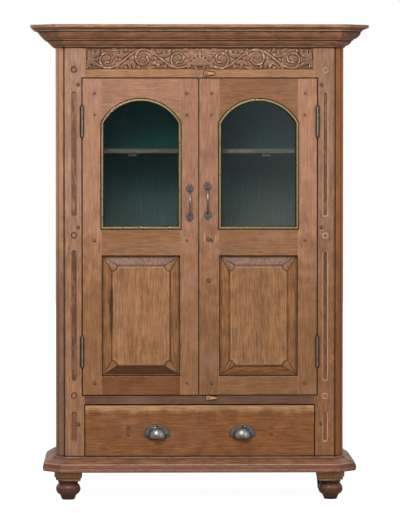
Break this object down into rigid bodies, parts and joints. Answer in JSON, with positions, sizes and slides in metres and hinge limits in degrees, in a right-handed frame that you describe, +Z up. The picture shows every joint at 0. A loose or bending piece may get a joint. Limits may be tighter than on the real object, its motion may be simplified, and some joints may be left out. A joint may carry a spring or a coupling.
{
  "type": "display cabinet",
  "caption": "Display cabinet in old wood: arched glass doors with raised panels, a wide drawer, a carved frieze, and a moulded cornice and plinth round canted corners, on turned feet.",
  "frame": {"origin": "On the floor, under the middle of the overall box.", "axes": "+Z up, -Y out of the front with the doors, +X to the right as seen from the front."},
  "size_m": [1.132, 0.463, 1.594],
  "materials": {
    "carcass_wood": "worn waxed teak",
    "divider_wood": "dark worn teak",
    "moulding_wood": "dark polished teak, worn at its edges",
    "foot_wood": "dark polished teak",
    "inside_wood": "old dark teal paint",
    "door_wood": "worn waxed teak",
    "glazing_wood": "old dark teal paint",
    "drawer_wood": "worn waxed teak",
    "drawer_box_wood": "bare wood",
    "button_wood": "light bare wood",
    "glass": "clear float glass",
    "brass": "aged brass",
    "pull_metal": "worn grey metal",
    "hinge_metal": "dark browned iron"
  },
  "bodies": {
    "carcass": {"back_boards": "inside_wood", "back_rails": "inside_wood", "bottom_board": "inside_wood", "bottom_front_rail": "carcass_wood", "cabinet_floor": "inside_wood", "cornice_front": "moulding_wood", "cornice_returns": "moulding_wood", "divider_rail": "divider_wood", "drawer_guides": "inside_wood", "drawer_stops": "inside_wood", "floor_bearers": "inside_wood", "frieze_rail": "carcass_wood", "front_feet": "foot_wood", "front_foot_blocks": "foot_wood", "front_post_left": "carcass_wood", "front_post_right": "carcass_wood", "hinge_frame_leaves": "hinge_metal", "hinge_pins": "hinge_metal", "lower_shelf": "inside_wood", "plinth_front": "moulding_wood", "plinth_returns": "moulding_wood", "rear_feet": "foot_wood", "rear_posts": "carcass_wood", "shelf_battens": "inside_wood", "shelf_cleats": "inside_wood", "side_panels": "carcass_wood", "side_rails": "carcass_wood", "top_boards": "carcass_wood", "turn_button_pivots": "hinge_metal", "upper_shelf": "inside_wood"},
    "left_door": {"left_bottom_rail": "door_wood", "left_brass_bead": "brass", "left_glass": "glass", "left_glazing_beads": "glazing_wood", "left_hinge_leaves": "hinge_metal", "left_hinge_stile": "door_wood", "left_lock_rail": "door_wood", "left_meeting_stile": "door_wood", "left_panel": "door_wood", "left_pull": "pull_metal", "left_top_rail": "door_wood"},
    "right_door": {"right_bottom_rail": "door_wood", "right_brass_bead": "brass", "right_glass": "glass", "right_glazing_beads": "glazing_wood", "right_hinge_leaves": "hinge_metal", "right_hinge_stile": "door_wood", "right_lock_rail": "door_wood", "right_meeting_stile": "door_wood", "right_panel": "door_wood", "right_pull": "pull_metal", "right_top_rail": "door_wood"},
    "drawer": {"drawer_front": "drawer_wood", "drawer_sides": "drawer_box_wood", "drawer_back": "drawer_box_wood", "drawer_bottom": "drawer_box_wood", "cup_pulls": "pull_metal"},
    "top_button": {"turn_button_top": "button_wood"},
    "bottom_button": {"turn_button_bottom": "button_wood"}
  },
  "joints": [
    {"name": "left_door_hinge", "type": "hinge", "parent": "carcass", "child": "left_door", "pos_m": [-0.394, -0.1533, 0.885], "axis": [0, 0, -1], "range_deg": [0, 170]},
    {"name": "right_door_hinge", "type": "hinge", "parent": "carcass", "child": "right_door", "pos_m": [0.394, -0.1533, 0.885], "axis": [0, 0, 1], "range_deg": [0, 170]},
    {"name": "drawer_slide", "type": "slide", "parent": "carcass", "child": "drawer", "axis": [0, -1, 0], "range_m": [0, 0.28]},
    {"name": "top_button_turn", "type": "hinge", "parent": "carcass", "child": "top_button", "pos_m": [0.022, -0.1485, 1.4315], "axis": [0, 1, 0], "range_deg": [-90, 90]},
    {"name": "bottom_button_turn", "type": "hinge", "parent": "carcass", "child": "bottom_button", "pos_m": [0.0295, -0.1485, 0.344], "axis": [0, -1, 0], "range_deg": [-90, 90]}
  ]
}
